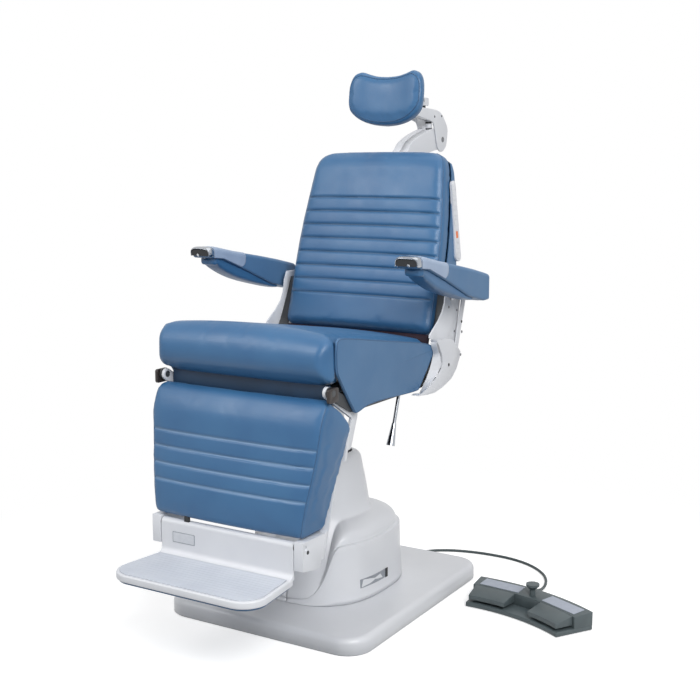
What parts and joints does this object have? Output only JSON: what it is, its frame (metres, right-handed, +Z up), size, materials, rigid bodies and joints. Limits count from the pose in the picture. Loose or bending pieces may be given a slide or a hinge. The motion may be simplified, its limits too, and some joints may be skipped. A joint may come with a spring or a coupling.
{
  "type": "ophthalmic examination chair",
  "caption": "Powered examination chair on a flat pedestal, with reclining channelled back, leg rest, flip-up arms and foot plate, adjustable head rest and corded foot control.",
  "frame": {"origin": "on the floor, under the centre of the base and the lift column", "axes": "+Z up, the chair faces -Y, the sitter's left is +X"},
  "size_m": [1.0837, 1.322, 1.4561],
  "materials": {
    "steel_dark": "dark enamel on steel, satin",
    "cover_white": "moulded shell painted off-white, satin",
    "black_plastic": "black moulded plastic, matte",
    "control_plastic": "dark grey moulded plastic, fine grain",
    "black_rubber": "black rubber",
    "cord_rubber": "grey cord sheath",
    "bright_steel": "ground steel",
    "paint_grey": "dark grey powder coat",
    "paint_white": "white powder coat, satin",
    "vinyl_blue": "blue grained vinyl over foam, soft sheen",
    "vinyl_dark": "dark blue grained vinyl",
    "vinyl_pale": "pale grey-blue vinyl",
    "mat_rubber": "pale ribbed mat",
    "key_plastic": "white key",
    "stop_plastic": "orange key",
    "chrome": "polished chrome"
  },
  "bodies": {
    "base": {"base_plate": "steel_dark", "base_cover": "cover_white", "shroud_left": "cover_white", "shroud_right": "cover_white", "column_outer": "steel_dark", "lift_drive": "steel_dark", "mains_inlet": "black_plastic", "cable_gland": "black_plastic", "foot_control_base": "control_plastic", "foot_control_housing": "control_plastic", "foot_control_feet": "black_rubber", "foot_cord": "cord_rubber"},
    "pedal_left": {"pedal_left": "control_plastic"},
    "pedal_right": {"pedal_right": "control_plastic"},
    "foot_button": {"foot_button": "control_plastic"},
    "lift": {"column_inner": "bright_steel"},
    "seat": {"turntable": "steel_dark", "seat_frame": "paint_grey", "seat_cushion": "vinyl_blue", "seat_wing_left": "vinyl_blue", "seat_wing_right": "vinyl_blue", "seat_front_panel": "vinyl_dark", "hinge_cheeks": "paint_grey", "hinge_cover_left": "cover_white", "hinge_cover_right": "cover_white", "pivot_pins": "bright_steel", "knee_blocks": "black_plastic", "recline_actuator": "black_plastic"},
    "lever": {"lever_rod": "bright_steel", "lever_handle": "chrome"},
    "legrest": {"legrest_frame": "paint_white", "legrest_pad": "vinyl_blue", "foot_bracket_left": "paint_white", "foot_bracket_right": "paint_white"},
    "footrest": {"footplate": "paint_white", "footplate_mat": "mat_rubber", "footplate_pad": "vinyl_dark"},
    "back": {"back_frame": "paint_white", "back_cushion": "vinyl_blue", "back_shell": "vinyl_blue", "keypad": "cover_white"},
    "carriers": {"arm_carriers": "bright_steel"},
    "links": {"arm_links": "paint_white"},
    "arm_left": {"arm_pad_left": "vinyl_blue", "arm_sleeve_left": "vinyl_pale", "arm_shell_left": "vinyl_blue"},
    "arm_right": {"arm_pad_right": "vinyl_blue", "arm_sleeve_right": "vinyl_pale", "arm_shell_right": "vinyl_blue"},
    "head_post": {"headrest_post": "paint_white"},
    "head_elbow": {"headrest_elbow": "paint_white"},
    "head": {"headrest_plate": "bright_steel", "headrest_pad": "vinyl_blue"},
    "key_back_up": {"key_back_up": "key_plastic"},
    "key_back_down": {"key_back_down": "key_plastic"},
    "key_chair_up": {"key_chair_up": "key_plastic"},
    "key_chair_down": {"key_chair_down": "key_plastic"},
    "key_stop": {"key_stop": "stop_plastic"},
    "key_return": {"key_return": "key_plastic"},
    "key_lamp": {"key_lamp": "key_plastic"}
  },
  "joints": [
    {"name": "lift_slide", "type": "slide", "parent": "base", "child": "lift", "axis": [0, 0, 1], "range_m": [0, 0.2]},
    {"name": "seat_swivel", "type": "hinge", "parent": "lift", "child": "seat", "pos_m": [0, 0, 0.574], "axis": [0, 0, 1], "continuous": true},
    {"name": "lock_lever", "type": "hinge", "parent": "seat", "child": "lever", "pos_m": [0.175, 0.092, 0.612], "axis": [-1, 0, 0], "range_deg": [-12, 12]},
    {"name": "back_recline", "type": "hinge", "parent": "seat", "child": "back", "pos_m": [0, 0.15, 0.662], "axis": [-1, 0, 0], "range_deg": [0, 74]},
    {"name": "legrest_raise", "type": "hinge", "parent": "seat", "child": "legrest", "pos_m": [0, -0.395, 0.666], "axis": [-1, 0, 0], "range_deg": [0, 75]},
    {"name": "footplate_flip", "type": "hinge", "parent": "legrest", "child": "footrest", "pos_m": [0, -0.468, 0.304], "axis": [-1, 0, 0], "range_deg": [0, 95]},
    {"name": "carrier_level", "type": "hinge", "parent": "back", "child": "carriers", "pos_m": [0, 0.208, 0.842], "axis": [-1, 0, 0], "range_deg": [-74, 0]},
    {"name": "link_swing", "type": "hinge", "parent": "seat", "child": "links", "pos_m": [0, 0.222, 0.678], "axis": [-1, 0, 0], "range_deg": [0, 74]},
    {"name": "arm_left_flip", "type": "hinge", "parent": "carriers", "child": "arm_left", "pos_m": [0.281, 0.28, 0.858], "axis": [-1, 0, 0], "range_deg": [0, 88]},
    {"name": "arm_right_flip", "type": "hinge", "parent": "carriers", "child": "arm_right", "pos_m": [-0.281, 0.28, 0.858], "axis": [-1, 0, 0], "range_deg": [0, 88]},
    {"name": "headrest_height", "type": "slide", "parent": "back", "child": "head_post", "axis": [0, 0.2689, 0.9632], "range_m": [0, 0.12]},
    {"name": "headrest_swing", "type": "hinge", "parent": "head_post", "child": "head_elbow", "pos_m": [0, 0.618, 1.268], "axis": [-1, 0, 0], "range_deg": [-8, 40]},
    {"name": "headrest_tilt", "type": "hinge", "parent": "head_elbow", "child": "head", "pos_m": [0, 0.402, 1.354], "axis": [-1, 0, 0], "range_deg": [-30, 30]},
    {"name": "pedal_left_rock", "type": "hinge", "parent": "base", "child": "pedal_left", "pos_m": [0.6274, 0.07902, 0.03], "axis": [0.4289, 0.9033, 0], "range_deg": [-3, 3], "stiffness_Nm_per_rad": 19},
    {"name": "pedal_right_rock", "type": "hinge", "parent": "base", "child": "pedal_right", "pos_m": [0.43884, 0.12778, 0.03], "axis": [0.0628, 0.998, 0], "range_deg": [-3, 3], "stiffness_Nm_per_rad": 19},
    {"name": "foot_button_push", "type": "slide", "parent": "base", "child": "foot_button", "axis": [0, 0, -1], "range_m": [0, 0.004], "stiffness_N_per_m": 2000, "springref_m": -0.001},
    {"name": "key_back_up_press", "type": "slide", "parent": "back", "child": "key_back_up", "axis": [-0.9957, 0, -0.0924], "range_m": [0, 0.0008], "stiffness_N_per_m": 1200, "springref_m": -0.0005},
    {"name": "key_back_down_press", "type": "slide", "parent": "back", "child": "key_back_down", "axis": [-0.9957, 0, -0.0924], "range_m": [0, 0.0008], "stiffness_N_per_m": 1200, "springref_m": -0.0005},
    {"name": "key_chair_up_press", "type": "slide", "parent": "back", "child": "key_chair_up", "axis": [-0.9957, 0, -0.0924], "range_m": [0, 0.0008], "stiffness_N_per_m": 1200, "springref_m": -0.0005},
    {"name": "key_chair_down_press", "type": "slide", "parent": "back", "child": "key_chair_down", "axis": [-0.9957, 0, -0.0924], "range_m": [0, 0.0008], "stiffness_N_per_m": 1200, "springref_m": -0.0005},
    {"name": "key_stop_press", "type": "slide", "parent": "back", "child": "key_stop", "axis": [-0.9957, 0, -0.0924], "range_m": [0, 0.0008], "stiffness_N_per_m": 1200, "springref_m": -0.0005},
    {"name": "key_return_press", "type": "slide", "parent": "back", "child": "key_return", "axis": [-0.9957, 0, -0.0924], "range_m": [0, 0.0008], "stiffness_N_per_m": 1200, "springref_m": -0.0005},
    {"name": "key_lamp_press", "type": "slide", "parent": "back", "child": "key_lamp", "axis": [-0.9957, 0, -0.0924], "range_m": [0, 0.0008], "stiffness_N_per_m": 1200, "springref_m": -0.0005}
  ],
  "couplings": [
    {"joint": "legrest_raise", "follows": "back_recline", "ratio": 1},
    {"joint": "carrier_level", "follows": "back_recline", "ratio": -1},
    {"joint": "link_swing", "follows": "back_recline", "ratio": 1}
  ]
}
